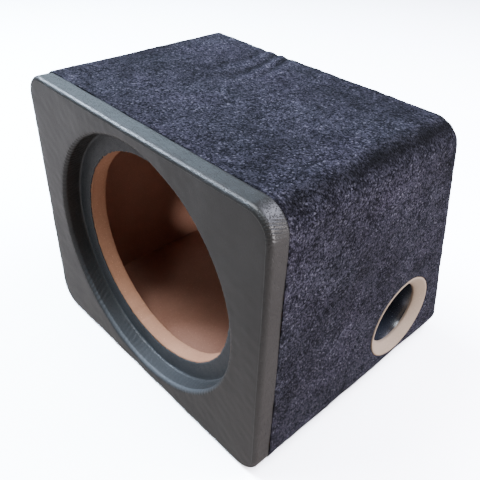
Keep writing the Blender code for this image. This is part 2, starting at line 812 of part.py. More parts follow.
def smooth_round_pieces():
    for obj in PARTS.objects:
        if obj.type == "MESH":
            obj.data.shade_smooth()
            obj.data.set_sharp_from_angle(angle=math.radians(35))


def build():
    leatherette_cover()
    front_frame()
    driver_baffle()
    carcass()
    rear_panel()
    carpet_wrap()
    carpet_base()
    carpet_rear()
    port()
    terminal()
    frame_screws()
    baffle_screws()
    rear_screws()
    terminal_screws()
    smooth_round_pieces()


build()
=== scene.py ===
"""The looks of a slant-back car subwoofer enclosure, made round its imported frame.

The box stands with its wrapped front towards -Y, its port in the right side (+X) and its
push terminal in the slanted back. Everything is in metres, in the frame's own axes.
"""

import math

import bmesh
import bpy
import numpy as np
from mathutils import Matrix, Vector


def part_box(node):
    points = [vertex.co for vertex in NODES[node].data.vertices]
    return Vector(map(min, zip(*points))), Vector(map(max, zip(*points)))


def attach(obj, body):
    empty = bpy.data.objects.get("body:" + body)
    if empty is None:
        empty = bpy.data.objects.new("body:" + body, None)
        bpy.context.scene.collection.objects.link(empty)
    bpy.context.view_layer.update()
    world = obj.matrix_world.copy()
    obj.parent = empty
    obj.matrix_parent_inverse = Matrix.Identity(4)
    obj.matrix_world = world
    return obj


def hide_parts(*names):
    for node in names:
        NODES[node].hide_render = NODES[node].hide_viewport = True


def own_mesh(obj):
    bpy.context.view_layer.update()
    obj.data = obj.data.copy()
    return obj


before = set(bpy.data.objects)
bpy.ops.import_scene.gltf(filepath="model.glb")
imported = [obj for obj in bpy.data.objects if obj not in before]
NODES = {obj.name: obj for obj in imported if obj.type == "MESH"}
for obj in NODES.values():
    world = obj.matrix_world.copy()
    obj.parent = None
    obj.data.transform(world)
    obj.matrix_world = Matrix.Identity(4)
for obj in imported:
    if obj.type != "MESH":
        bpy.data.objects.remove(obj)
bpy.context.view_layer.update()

# ------------------------------------------------------------------ camera
# Off the box's front right corner and above it, turned, tilted and rolled a little.
camera = bpy.data.objects.new("camera", bpy.data.cameras.new("camera"))
bpy.context.scene.collection.objects.link(camera)
bpy.context.scene.camera = camera
CAMERA_PLACE = (0.401, -0.4067, 0.5304)
CAMERA_TURN = math.radians(44.44)
CAMERA_TILT = math.radians(34.6)
CAMERA_ROLL = math.radians(2.96)
camera.matrix_world = (
    Matrix.Translation(CAMERA_PLACE)
    @ Matrix.Rotation(CAMERA_TURN, 4, "Z")
    @ Matrix.Rotation(math.pi / 2 - CAMERA_TILT, 4, "X")
    @ Matrix.Rotation(CAMERA_ROLL, 4, "Z")
)
camera.data.lens = 44.04
camera.data.shift_x = -0.0268
camera.data.shift_y = -0.0325
camera.data.clip_start = 0.01


# ------------------------------------------------------------------ light
# A pale studio with a lit white backdrop. Cool windows high on the left and behind draw the
# highlight along the front frame's upper edge and round its corner. Two boxes overhead
# light the pile and the board inside, one low on the right lights the port's side, and a
# faint one stands in front.
def put(tree, kind, inputs=None, **settings):
    """A new node with its settings, and its inputs set to values or linked to sockets."""
    node = tree.nodes.new(kind)
    for name, value in settings.items():
        setattr(node, name, value)
    for key, value in (inputs or {}).items():
        if isinstance(value, bpy.types.NodeSocket):
            tree.links.new(value, node.inputs[key])
        else:
            node.inputs[key].default_value = value
    return node


def softbox(name, place, aim, width, height, watts, colour):
    """An area light at a place, facing a point."""
    lamp = bpy.data.lights.new(name, "AREA")
    lamp.shape = "RECTANGLE"
    lamp.size, lamp.size_y = width, height
    lamp.energy = watts
    lamp.color = colour
    light = bpy.data.objects.new(name, lamp)
    bpy.context.scene.collection.objects.link(light)
    away = np.subtract(place, aim)
    away = away / np.linalg.norm(away)
    side = np.cross((0, 0, 1), away)
    side = side / np.linalg.norm(side)
    axes = np.column_stack([side, np.cross(away, side), away, place])
    light.matrix_world = Matrix([*axes.tolist(), [0, 0, 0, 1]])


BACKDROP = 5.0
FILL = 0.08
world = bpy.data.worlds.new("studio")
bpy.context.scene.world = world
world.use_nodes = True
room = world.node_tree
seen = put(room, "ShaderNodeLightPath").outputs["Is Camera Ray"]
fill = put(room, "ShaderNodeBackground", {"Color": (0.92, 0.96, 1.0, 1), "Strength": FILL})
backdrop = put(room, "ShaderNodeBackground", {"Color": (1, 1, 1, 1), "Strength": BACKDROP})
both = put(room, "ShaderNodeMixShader", {0: seen, 1: fill.outputs[0], 2: backdrop.outputs[0]})
room.links.new(both.outputs[0], room.nodes["World Output"].inputs["Surface"])

BOX_CENTRE = (0, 0, 0.15)
softbox("light_left", (-1.50, -0.55, 1.38), BOX_CENTRE, 0.9, 0.5, 92, (0.66, 0.80, 1.0))
softbox("light_left_back", (-1.40, 0.70, 1.05), BOX_CENTRE, 1.0, 0.6, 8, (0.60, 0.80, 1.0))
softbox("light_back", (0.75, 1.15, 1.65), BOX_CENTRE, 1.7, 0.9, 80, (0.80, 0.82, 1.0))
softbox("light_over", (-0.50, -0.48, 1.70), BOX_CENTRE, 0.9, 0.45, 34, (0.90, 0.94, 1.0))
softbox("light_over_port", (0.55, -0.50, 1.70), BOX_CENTRE, 0.4, 0.4, 8, (0.84, 0.92, 1.0))
softbox("light_front", (0.08, -1.62, 1.27), BOX_CENTRE, 0.6, 0.5, 5, (0.84, 0.93, 1.0))
softbox("light_right", (1.9, 0.25, 0.40), BOX_CENTRE, 0.9, 0.7, 60, (1.0, 0.95, 0.98))


# ------------------------------------------------------------------ floor
# A plain sweep, as white as the backdrop where it is seen, and a warm board to the object's
# own reflections and shadows. It isn't part of the object.
def surface(name, points, material, rows_close=False, columns_close=False, keep=None,
            towards=None, values=None):
    """A grid of points (row, column, xyz) as a mesh of quads, closed along either way. With
    keep, a mask over the grid's cells, only those are made. A grid that closes both ways has
    its quads turned so that the volume they enclose is positive, and an open one so that
    they face the given direction, or the direction given at each point. Values are kept on
    the points as attributes."""
    rows, columns = points.shape[:2]
    row = np.arange(rows if rows_close else rows - 1)[:, None]
    column = np.arange(columns if columns_close else columns - 1)[None, :]
    below, right = (row + 1) % rows, (column + 1) % columns
    corners = np.broadcast_arrays(
        row * columns + column, row * columns + right, below * columns + right,
        below * columns + column,
    )
    quads = np.stack(corners, axis=-1)
    quads = (quads if keep is None else quads[keep]).reshape(-1, 4)
    used, quads = np.unique(quads, return_inverse=True)
    quads, spots = quads.reshape(-1, 4), points.reshape(-1, 3)[used]
    a, b, c, d = (spots[quads[:, k]] for k in range(4))
    if rows_close and columns_close:
        turned = np.einsum("ij,ij->", a, np.cross(b, c) + np.cross(c, d)) < 0
    else:
        way = np.broadcast_to(towards, points.shape).reshape(-1, 3)[used][quads[:, 0]]
        turned = np.einsum("ij,ij->", np.cross(c - a, d - b), way) < 0
    quads = quads[:, ::-1] if turned else quads
    mesh = bpy.data.meshes.new(name)
    mesh.vertices.add(len(spots))
    mesh.vertices.foreach_set("co", spots.astype(np.float32).ravel())
    mesh.loops.add(quads.size)
    mesh.loops.foreach_set("vertex_index", quads.astype(np.int32).ravel())
    mesh.polygons.add(len(quads))
    mesh.polygons.foreach_set("loop_start", np.arange(0, quads.size, 4, dtype=np.int32))
    mesh.update(calc_edges=True)
    mesh.shade_smooth()
    mesh.materials.append(material)
    for key, value in (values or {}).items():
        attribute = mesh.attributes.new(key, "FLOAT", "POINT")
        attribute.data.foreach_set("value", value.reshape(-1)[used].astype(np.float32))
    piece = bpy.data.objects.new(name, mesh)
    bpy.context.scene.collection.objects.link(piece)
    return piece


FLOOR_SEEN = (4.4, 4.4, 4.4, 1)
FLOOR_BOARD = (0.325, 0.28, 0.25, 1)
FLOOR_REACH = 6.0
FLOOR_DROP = 0.0006
sweep = bpy.data.materials.new("pale_floor")
sweep.use_nodes = True
tree = sweep.node_tree
seen = put(tree, "ShaderNodeLightPath").outputs["Is Camera Ray"]
paint = put(tree, "ShaderNodeMix", {0: seen}, data_type="RGBA")
paint.inputs[6].default_value = FLOOR_BOARD
paint.inputs[7].default_value = FLOOR_SEEN
matt = put(tree, "ShaderNodeBsdfDiffuse", {"Color": paint.outputs[2]})
tree.links.new(matt.outputs[0], tree.nodes["Material Output"].inputs["Surface"])
steps = np.linspace(-FLOOR_REACH, FLOOR_REACH, 9)
floor = surface(
    "floor", np.stack(np.meshgrid(steps, steps, [-FLOOR_DROP]), -1)[:, :, 0], sweep,
    towards=(0, 0, 1),
)


# ------------------------------------------------------------------ leatherette
# Thin embossed vinyl over the front frame: round its edge, across the face, down the
# recess and over the driver's seat. It is glued, gathered in small pleats round the
# corners, and trimmed with a knife at the cut-out.
skin_low, skin_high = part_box("leatherette_cover")
baffle_low, baffle_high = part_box("driver_baffle")
frame_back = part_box("front_frame")[1].y
DRIVER_X, DRIVER_Z = 0.0, (skin_low.z + skin_high.z) / 2
FACE = skin_low.y
SKIN = 0.0008
SEAT = baffle_low.y - 0.0003 - SKIN
FRAME_CORNER = 0.0254
EDGE_ROUND = 0.005
RECESS_RADIUS = 0.138
CUTOUT_RADIUS = 0.116
SEAT_FILLET = 0.0022
PLEAT = 0.0029  # from one pleat to the next
AROUND = 840


def bell(value, width):
    """1 at 0, falling off smoothly over the width."""
    return np.exp(-((value / width) ** 2))


def waves(points, size, seed, count=14):
    """A smooth bumpy value about 0: the mean of plane waves of about this length, with
    directions and phases drawn from a seeded generator."""
    draw = np.random.default_rng(seed)
    ways = draw.normal(size=(count, 3))
    ways /= np.linalg.norm(ways, axis=1)[:, None]
    rates = 2 * np.pi / (size * draw.uniform(0.7, 1.5, count))
    phases = draw.uniform(0, 2 * np.pi, count)
    return np.sin(points @ (ways * rates[:, None]).T + phases).sum(-1) / math.sqrt(count / 2)


def angles_dense_at(turns, width, gain):
    """Angles over a full turn, closer together near the given ones: equal steps of the
    running sum of 1 plus a bell at each of them."""
    fine = np.linspace(0, 2 * np.pi, 7201)
    apart = (fine[:, None] - turns + np.pi) % (2 * np.pi) - np.pi
    total = np.cumsum(1 + gain * bell(apart, width).sum(1))
    share = (total - total[0]) / (total[-1] - total[0])
    return np.interp(np.arange(AROUND) / AROUND, share, fine)


def rounded_outline(turn, half_width, low, high, corner, centre):
    """Where rays at these angles from the centre (x, z) meet a rounded rectangle, and the
    outline's outward direction there. A ray meets the nearer of its two straight sides, and
    if that point lies beyond a corner's centre both ways, it meets that corner's circle."""
    ray = np.stack([np.cos(turn), np.sin(turn)], -1)
    sideways = np.where(ray[:, 0] > 0, half_width - centre[0], half_width + centre[0])
    upwards = np.where(ray[:, 1] > 0, high - centre[1], centre[1] - low)
    gap = np.stack([sideways, upwards], -1)
    times = gap / np.maximum(np.abs(ray), 1e-9)
    sign = np.sign(ray)
    pivot = sign * (gap - corner)
    spot = ray * np.min(times, axis=1)[:, None]
    in_corner = np.all(sign * (spot - pivot) > 0, axis=1)[:, None]
    along = np.einsum("ij,ij->i", ray, pivot)
    inside = along**2 - np.einsum("ij,ij->i", pivot, pivot) + corner**2
    far = along + np.sqrt(np.maximum(inside, 0))
    spot = np.where(in_corner, ray * far[:, None], spot)
    side = np.eye(2)[np.argmin(times, axis=1)] * sign
    way = np.where(in_corner, (spot - pivot) / corner, side)
    return spot + np.asarray(centre), way


def ring_row(spots, y):
    """Points (x, z) stood up at depth y."""
    return np.stack([spots[:, 0], np.full(len(spots), y), spots[:, 1]], -1)


def driver_circle(radius):
    """The circle about the driver's axis, at the shared angles."""
    turns = np.stack([np.cos(ANGLES), np.sin(ANGLES)], -1)
    return turns * radius + (DRIVER_X, DRIVER_Z)


def quarter(count):
    """(inwards, backwards) shares of a rounded edge, over a quarter turn without its ends."""
    turns = np.linspace(0, np.pi / 2, count + 2)[1:-1]
    return [(1 - math.cos(t), 1 - math.sin(t)) for t in turns]


def outward(points):
    """Unit normals of a grid: the cross product of its two central differences."""
    down = np.gradient(points, axis=0)
    across = np.roll(points, -1, 1) - np.roll(points, 1, 1)
    normal = np.cross(across, down)
    return normal / np.maximum(np.linalg.norm(normal, axis=-1, keepdims=True), 1e-12)


corner_turn = math.atan2(
    (skin_high.z - skin_low.z) / 2 - FRAME_CORNER * 0.3, skin_high.x - FRAME_CORNER * 0.3
)
CORNER_TURNS = np.array([corner_turn, np.pi - corner_turn, np.pi + corner_turn, -corner_turn])
ANGLES = angles_dense_at(CORNER_TURNS, 0.105, 2.5)
edge_spots, edge_way = rounded_outline(
    ANGLES, skin_high.x, skin_low.z, skin_high.z, FRAME_CORNER, (DRIVER_X, DRIVER_Z)
)
face_edge = edge_spots - edge_way * EDGE_ROUND
face_lip = driver_circle(RECESS_RADIUS + EDGE_ROUND)

# The skin's rows, from behind the frame to the cut-out, and the row that each part starts at.
BAND_ROWS, ROUND_ROWS, FACE_ROWS, WALL_ROWS, FILLET_ROWS, SEAT_ROWS = 12, 8, 15, 8, 4, 10
FACE_START = BAND_ROWS + ROUND_ROWS
LIP_START = FACE_START + FACE_ROWS
WALL_START = LIP_START + ROUND_ROWS
FILLET_START = WALL_START + WALL_ROWS
skin_rows = [ring_row(edge_spots, y) for y in np.linspace(frame_back, FACE + EDGE_ROUND, BAND_ROWS)]
skin_rows += [
    ring_row(edge_spots - edge_way * EDGE_ROUND * inward, FACE + EDGE_ROUND * back)
    for inward, back in quarter(ROUND_ROWS)
]
skin_rows += [
    ring_row(face_edge + (face_lip - face_edge) * share, FACE)
    for share in np.linspace(0, 1, FACE_ROWS)
]
skin_rows += [
    ring_row(driver_circle(RECESS_RADIUS + EDGE_ROUND * back), FACE + EDGE_ROUND * inward)
    for inward, back in quarter(ROUND_ROWS)
]
skin_rows += [
    ring_row(driver_circle(RECESS_RADIUS), y)
    for y in np.linspace(FACE + EDGE_ROUND, SEAT - SEAT_FILLET, WALL_ROWS)
]
skin_rows += [
    ring_row(driver_circle(RECESS_RADIUS - SEAT_FILLET * inward), SEAT - SEAT_FILLET * back)
    for inward, back in quarter(FILLET_ROWS)
]
skin_rows += [
    ring_row(driver_circle(radius), SEAT)
    for radius in np.linspace(RECESS_RADIUS - SEAT_FILLET, CUTOUT_RADIUS + 0.0004, SEAT_ROWS)
]
skin_outer = np.stack(skin_rows)
skin_normal = outward(skin_outer)
skin_normal *= np.sign(-skin_normal[LIP_START - 1, 0, 1])
row = np.arange(len(skin_outer))[:, None]
on_edge = row < FACE_START
in_recess = row > LIP_START
in_wall = row >= WALL_START
on_seat = row >= FILLET_START + FILLET_ROWS // 2

# The pleats cross the edge, slanting, where each corner runs into the upright side.
depth_behind = np.clip((skin_outer[..., 1] - FACE) / 0.019, 0, 1)
from_side = np.arctan2(np.abs(edge_way[:, 1]), np.abs(edge_way[:, 0]))
gathered = bell(from_side - 0.42, 0.36) * (from_side > 0.001)
pleat_run = FRAME_CORNER * from_side + 0.007 * depth_behind
pleat_run = pleat_run + 0.0004 * waves(skin_outer, 0.02, 7)
pleats = np.abs(np.sin(np.pi * pleat_run / PLEAT)) ** 0.7 - 0.6
lift = -0.00075 * pleats * gathered * on_edge * (0.35 + 0.65 * np.sin(np.pi * depth_behind**0.6))
lift += 0.00014 * waves(skin_outer, 0.05, 3) + 0.00005 * waves(skin_outer, 0.012, 4)
slanted = np.sin(ANGLES * 150 + skin_outer[..., 1] * 500 + 1.5 * waves(skin_outer, 0.03, 8))
lift += 0.00013 * slanted * in_recess * (row < FILLET_START)
skin_outer = skin_outer + skin_normal * lift[..., None]
trim = 0.0005 * waves(skin_outer[-1], 0.009, 5) + 0.0003 * waves(skin_outer[-1], 0.003, 6)
seat_centre = np.array([DRIVER_X, SEAT, DRIVER_Z])
cut = 1 + np.abs(trim) / CUTOUT_RADIUS
skin_outer[-1] = seat_centre + (skin_outer[-1] - seat_centre) * cut[:, None]

# Every third row is enough for the side that is glued down.
inner_rows = np.r_[np.arange(len(skin_outer) - 1, 0, -3), 0]
skin_inner = (skin_outer - skin_normal * SKIN)[inner_rows]


def maths(tree, operation, *values, clamp=False):
    """One arithmetic step."""
    inputs = dict(enumerate(values))
    return put(tree, "ShaderNodeMath", inputs, operation=operation, use_clamp=clamp).outputs[0]


def blend(tree, fac, low, high, kind="MIX"):
    """Two colours mixed by a mask."""
    node = put(tree, "ShaderNodeMix", data_type="RGBA", blend_type=kind)
    for key, value in ((0, fac), (6, low), (7, high)):
        if isinstance(value, bpy.types.NodeSocket):
            tree.links.new(value, node.inputs[key])
        else:
            node.inputs[key].default_value = value if key == 0 else (*value, 1)
    return node.outputs[2]


def noise(tree, vector, scale, detail=2.0, roughness=0.5):
    """Noise about a half, its scale a number or a socket."""
    inputs = {"Vector": vector, "Scale": scale, "Detail": detail, "Roughness": roughness}
    return put(tree, "ShaderNodeTexNoise", inputs).outputs["Fac"]


def stretched(tree, vector, scales):
    """The coordinates scaled apart along X, Y and Z, for streaks."""
    return put(tree, "ShaderNodeMapping", {0: vector, "Scale": scales}).outputs[0]


def finish(name):
    """An empty material: its tree, its Principled shader and the Object coordinates."""
    material = bpy.data.materials.new(name)
    material.use_nodes = True
    tree = material.node_tree
    place = put(tree, "ShaderNodeTexCoord").outputs["Object"]
    return material, tree, tree.nodes["Principled BSDF"], place


def raise_up(tree, shader, height, distance):
    """A bump of this height, in metres, on the shader's normal."""
    bump = put(tree, "ShaderNodeBump", {"Height": height, "Distance": distance})
    tree.links.new(bump.outputs["Normal"], shader.inputs["Normal"])


def effect(name, inputs, outputs):
    """A new shader node group with named sockets: its tree, and its inner ends."""
    tree = bpy.data.node_groups.new(name, "ShaderNodeTree")
    for socket, kind in inputs.items():
        tree.interface.new_socket(socket, in_out="INPUT", socket_type="NodeSocket" + kind)
    for socket, kind in outputs.items():
        tree.interface.new_socket(socket, in_out="OUTPUT", socket_type="NodeSocket" + kind)
    ends = tree.nodes.new("NodeGroupInput").outputs, tree.nodes.new("NodeGroupOutput").inputs
    return tree, *ends


def use_effect(tree, group, inputs):
    """One of those groups, placed in a material with its own values."""
    return put(tree, "ShaderNodeGroup", inputs, node_tree=group).outputs


# Handling marks and dust, for any finish: soft broad patches, and sparse pale specks.
dust, dust_in, dust_out = effect(
    "dust", {"Vector": "Vector", "Patch Size": "Float"}, {"Patches": "Float", "Specks": "Float"}
)
patch_rate = maths(dust, "DIVIDE", 1.0, dust_in["Patch Size"])
dust.links.new(noise(dust, dust_in["Vector"], patch_rate, 4.0, 0.6), dust_out["Patches"])
bright = maths(dust, "SUBTRACT", noise(dust, dust_in["Vector"], 650.0, 1.0), 0.67)
dust.links.new(maths(dust, "MULTIPLY", bright, 12.0, clamp=True), dust_out["Specks"])

# Embossed grain: sunk pits with smooth skin between them, and a fine tooth over all.
vinyl, vinyl_in, vinyl_out = effect(
    "vinyl_grain", {"Vector": "Vector", "Pit Spacing": "Float"},
    {"Height": "Float", "Pit": "Float"},
)
drift = put(vinyl, "ShaderNodeTexNoise", {"Vector": vinyl_in["Vector"], "Scale": 420.0})
shaken = put(
    vinyl, "ShaderNodeVectorMath", {0: drift.outputs["Color"], "Scale": 0.0011},
    operation="SCALE",
).outputs[0]
shaken = put(
    vinyl, "ShaderNodeVectorMath", {0: vinyl_in["Vector"], 1: shaken}, operation="ADD"
).outputs[0]
pit_rate = maths(vinyl, "DIVIDE", 1.0, vinyl_in["Pit Spacing"])
cells = put(vinyl, "ShaderNodeTexVoronoi", {"Vector": shaken, "Scale": pit_rate})
smooth = maths(vinyl, "SUBTRACT", cells.outputs["Distance"], 0.12)
smooth = maths(vinyl, "MULTIPLY", smooth, 3.6, clamp=True)
tooth = noise(vinyl, vinyl_in["Vector"], 2600.0)
vinyl.links.new(maths(vinyl, "MULTIPLY_ADD", tooth, 0.35, smooth), vinyl_out["Height"])
vinyl.links.new(maths(vinyl, "SUBTRACT", 1.0, smooth, clamp=True), vinyl_out["Pit"])


def leatherette():
    """Dark grey embossed vinyl: fine pits in a satin skin, painted darker as shade in the pits and
    open where it is stretched over the edge, faint hand marks, and a pale bluish painted sheen low
    in the recess and on the seat."""
    material, tree, shader, place = finish("leatherette")
    grain = use_effect(tree, vinyl, {"Vector": place, "Pit Spacing": 0.0018})
    marks = use_effect(tree, dust, {"Vector": place, "Patch Size": 0.06})
    opened = put(tree, "ShaderNodeAttribute", attribute_name="open_grain").outputs["Fac"]
    pits = maths(tree, "MULTIPLY", grain["Pit"], opened)
    base = blend(tree, marks["Patches"], (0.014, 0.0138, 0.0130), (0.024, 0.023, 0.0215))
    # Painted shade: the pits are painted darker, most where the grain is open.
    base = blend(tree, maths(tree, "MULTIPLY", pits, 0.3), base, (0.004, 0.004, 0.005))
    base = blend(tree, maths(tree, "MULTIPLY", marks["Specks"], 0.2), base, (0.10, 0.10, 0.095))
    # Painted sheen: a pale bluish tint where the recess faces up and on the seat, standing in for
    # the light those faces catch.
    painted_sheen = put(tree, "ShaderNodeAttribute", attribute_name="painted_sheen").outputs["Fac"]
    base = blend(tree, maths(tree, "MULTIPLY", painted_sheen, 0.4), base, (0.112, 0.130, 0.150))
    tree.links.new(base, shader.inputs["Base Color"])
    rough = maths(tree, "MULTIPLY_ADD", marks["Patches"], 0.12, 0.29)
    rough = maths(tree, "MULTIPLY_ADD", painted_sheen, 0.2, rough)
    rough = maths(tree, "MULTIPLY_ADD", pits, 0.65, rough, clamp=True)
    tree.links.new(rough, shader.inputs["Roughness"])
    gloss = maths(tree, "MULTIPLY_ADD", pits, -0.25, 0.42)
    tree.links.new(gloss, shader.inputs["Specular IOR Level"])
    lines = noise(tree, stretched(tree, place, (50.0, 700.0, 700.0)), 1.0, 3.0)
    height = maths(tree, "MULTIPLY_ADD", lines, 0.5, grain["Height"])
    height = maths(tree, "MULTIPLY", height, opened)
    raise_up(tree, shader, height, 0.00036)
    return material


# A pale bluish sheen is painted where the recess faces up and on its seat: painted light on those
# faces. The grain opens, and its painted pit shade deepens, where the skin is stretched over the
# edge and down the recess. The skin's hidden side has neither.
painted_sheen_mask = np.clip(skin_normal[..., 2], 0, 1) ** 1.5 * in_recess * (1.4 - 0.9 * in_wall)
painted_sheen_mask = painted_sheen_mask + 0.55 * on_seat
open_grain = np.where(on_edge, 0.5, 0.10) + 0.3 * in_recess
open_grain = np.broadcast_to(open_grain, painted_sheen_mask.shape)
hidden = np.zeros(skin_inner.shape[:2])
leatherette_skin = surface(
    "leatherette_skin", np.concatenate([skin_outer, skin_inner]), leatherette(),
    rows_close=True, columns_close=True,
    values={
        "painted_sheen": np.concatenate([painted_sheen_mask, hidden]),
        "open_grain": np.concatenate([open_grain, hidden]),
    },
)
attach(leatherette_skin, "enclosure")
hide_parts("leatherette_cover")


# ------------------------------------------------------------------ driver baffle
# The second fibreboard sheet, glued behind the frame. Its round hole is routed through the
# raw board, which is why the sawn edge shows inside the seat.
WOOD_CORNER = 0.0239
SAWN_BEVEL = 0.0005


def fibreboard(name, light, dark, edge_y=None):
    """Raw fibreboard: a felted mix of tan and brown fibres, darker in broad patches, with
    pale flecks. Where edge_y is (front, back), the sawn edge is denser towards both skins
    and is scored along the cut."""
    material, tree, shader, place = finish(name)
    marks = use_effect(tree, dust, {"Vector": place, "Patch Size": 0.05})
    felt = noise(tree, place, 420.0, 6.0, 0.7)
    mix = maths(tree, "MULTIPLY_ADD", felt, 0.55, maths(tree, "MULTIPLY", marks["Patches"], 0.7))
    base = blend(tree, maths(tree, "SUBTRACT", mix, 0.12, clamp=True), dark, light)
    pale = tuple(min(1, part * 1.6) for part in light)
    base = blend(tree, maths(tree, "MULTIPLY", marks["Specks"], 0.5), base, pale)
    height = felt
    if edge_y:
        middle, half = (edge_y[0] + edge_y[1]) / 2, (edge_y[1] - edge_y[0]) / 2
        depth = put(tree, "ShaderNodeSeparateXYZ", {0: place}).outputs["Y"]
        across = maths(tree, "DIVIDE", maths(tree, "SUBTRACT", depth, middle), half)
        dense = maths(tree, "POWER", maths(tree, "ABSOLUTE", across), 5.0, clamp=True)
        deep = tuple(part * 0.55 for part in dark)
        base = blend(tree, maths(tree, "MULTIPLY", dense, 0.35), base, deep)
        scores = noise(tree, stretched(tree, place, (30.0, 2200.0, 30.0)), 1.0, 3.0)
        height = maths(tree, "ADD", height, scores)
        base = blend(tree, maths(tree, "MULTIPLY", scores, 0.25), base, deep)
    tree.links.new(base, shader.inputs["Base Color"])
    shader.inputs["Roughness"].default_value = 0.85
    shader.inputs["Specular IOR Level"].default_value = 0.25
    raise_up(tree, shader, height, 0.0002)
    return material


wood_spots, wood_way = rounded_outline(
    ANGLES, baffle_high.x, baffle_low.z, baffle_high.z, WOOD_CORNER, (DRIVER_X, DRIVER_Z)
)
wall_y = np.linspace(baffle_low.y + SAWN_BEVEL, baffle_high.y - SAWN_BEVEL, 14)
baffle_rows = [ring_row(driver_circle(CUTOUT_RADIUS + SAWN_BEVEL), baffle_low.y)]
baffle_rows += [ring_row(driver_circle(CUTOUT_RADIUS), y) for y in wall_y]
baffle_rows += [ring_row(driver_circle(CUTOUT_RADIUS + SAWN_BEVEL), baffle_high.y)]
baffle_rows += [ring_row(wood_spots - wood_way * SAWN_BEVEL, baffle_high.y)]
baffle_rows += [ring_row(wood_spots, baffle_high.y - SAWN_BEVEL)]
baffle_rows += [ring_row(wood_spots, baffle_low.y + SAWN_BEVEL)]
baffle_rows += [ring_row(wood_spots - wood_way * SAWN_BEVEL, baffle_low.y)]
baffle_grid = np.stack(baffle_rows)
saw_wander = 0.00022 * waves(baffle_grid[1], 0.03, 11) + 0.00008 * waves(baffle_grid[1], 0.006, 12)
spokes = np.stack([np.cos(ANGLES), 0 * ANGLES, np.sin(ANGLES)], -1)
baffle_grid[: len(wall_y) + 2] += spokes * np.abs(saw_wander)[:, None]
raw_edge = fibreboard(
    "fibreboard_sawn", (0.70, 0.37, 0.228), (0.40, 0.19, 0.108), (baffle_low.y, baffle_high.y)
)
baffle = surface("baffle_board", baffle_grid, raw_edge, rows_close=True, columns_close=True)
baffle.data.set_sharp_from_angle(angle=math.radians(40))
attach(baffle, "enclosure")
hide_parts("driver_baffle")


# ------------------------------------------------------------------ carcass panels
# Five fibreboard panels glued and screwed edge to face, and the board under the vinyl.
# Only the raw inner faces show, through the cut-out, so their shape stays as it is.
raw_face = fibreboard("fibreboard_face", (0.52, 0.275, 0.190), (0.30, 0.145, 0.095))
for name in (
    "top_panel", "bottom_panel", "left_panel", "right_panel", "rear_panel", "front_frame"
):
    NODES[name].data.materials.clear()
    NODES[name].data.materials.append(raw_face)


# ------------------------------------------------------------------ port ring and pipe
# A turned fibreboard ring is let into the right side: a narrow flat rim round a dished
# mouth, left raw. The glossy pipe is glued in behind its shoulder, its own end belled.
ring_low, ring_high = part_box("port_ring")
pipe_low, pipe_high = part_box("port_tube")
PORT_Y = (ring_low.y + ring_high.y) / 2
PORT_Z = (ring_low.z + ring_high.z) / 2
RING_RADIUS = (ring_high.z - ring_low.z) / 2
PIPE_RADIUS = (pipe_high.z - pipe_low.z) / 2
PIPE_WALL = 0.003
PIPE_BORE = PIPE_RADIUS - PIPE_WALL
MOUTH_RIM = 0.002
MOUTH_DEPTH = 0.009
MOUTH_CURVE = 1.4
SHOULDER = 0.011
BELL_DEPTH = 0.016
BELL_WIDTH = 0.0022
TURNED_BEVEL = 0.0005
PORT_AROUND = 288


def turned_about_port(profile):
    """A closed profile of (radius, x) turned about the port's axis."""
    turn = np.linspace(0, 2 * np.pi, PORT_AROUND, endpoint=False)
    radius, x = np.asarray(profile).T
    across = PORT_Y + radius[:, None] * np.cos(turn)
    up = PORT_Z + radius[:, None] * np.sin(turn)
    return np.stack([np.repeat(x[:, None], PORT_AROUND, 1), across, up], -1)


dish_reach = RING_RADIUS - MOUTH_RIM - PIPE_BORE
dish = [
    (PIPE_BORE + dish_reach * (1 - share) ** MOUTH_CURVE, ring_high.x - MOUTH_DEPTH * share)
    for share in np.linspace(0.02, 1, 22)
]
SOCKET = PIPE_RADIUS + 0.0003
ring_profile = [
    (RING_RADIUS - MOUTH_RIM + 0.0003, ring_high.x - 0.00003),
    *dish,
    (PIPE_BORE, ring_high.x - SHOULDER),
    (SOCKET, ring_high.x - SHOULDER),
    (SOCKET, ring_low.x + TURNED_BEVEL),
    (SOCKET + TURNED_BEVEL, ring_low.x),
    (RING_RADIUS - TURNED_BEVEL, ring_low.x),
    (RING_RADIUS, ring_low.x + TURNED_BEVEL),
    (RING_RADIUS, ring_high.x - 2 * TURNED_BEVEL),
    (RING_RADIUS - 0.3 * TURNED_BEVEL, ring_high.x - 0.5 * TURNED_BEVEL),
    (RING_RADIUS - TURNED_BEVEL, ring_high.x),
]
raw_turned = fibreboard("fibreboard_turned", (0.34, 0.265, 0.20), (0.23, 0.172, 0.126))
port_ring = surface(
    "port_mouth", turned_about_port(ring_profile), raw_turned, rows_close=True, columns_close=True
)
port_ring.data.set_sharp_from_angle(angle=math.radians(55))
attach(port_ring, "enclosure")
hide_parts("port_ring")


def pipe_plastic():
    """Glossy dark grey extruded pipe, faintly drawn along its length, with a little dust."""
    material, tree, shader, place = finish("port_plastic")
    marks = use_effect(tree, dust, {"Vector": place, "Patch Size": 0.03})
    base = blend(tree, marks["Patches"], (0.012, 0.015, 0.022), (0.028, 0.034, 0.046))
    base = blend(tree, maths(tree, "MULTIPLY", marks["Specks"], 0.12), base, (0.30, 0.28, 0.25))
    tree.links.new(base, shader.inputs["Base Color"])
    rough = maths(tree, "MULTIPLY_ADD", marks["Patches"], 0.12, 0.20)
    tree.links.new(rough, shader.inputs["Roughness"])
    shader.inputs["Specular IOR Level"].default_value = 1.0
    shader.inputs["Coat Weight"].default_value = 1.0
    shader.inputs["Coat Roughness"].default_value = 0.16
    lines = noise(tree, stretched(tree, place, (6.0, 700.0, 700.0)), 1.0)
    raise_up(tree, shader, lines, 0.00003)
    return material


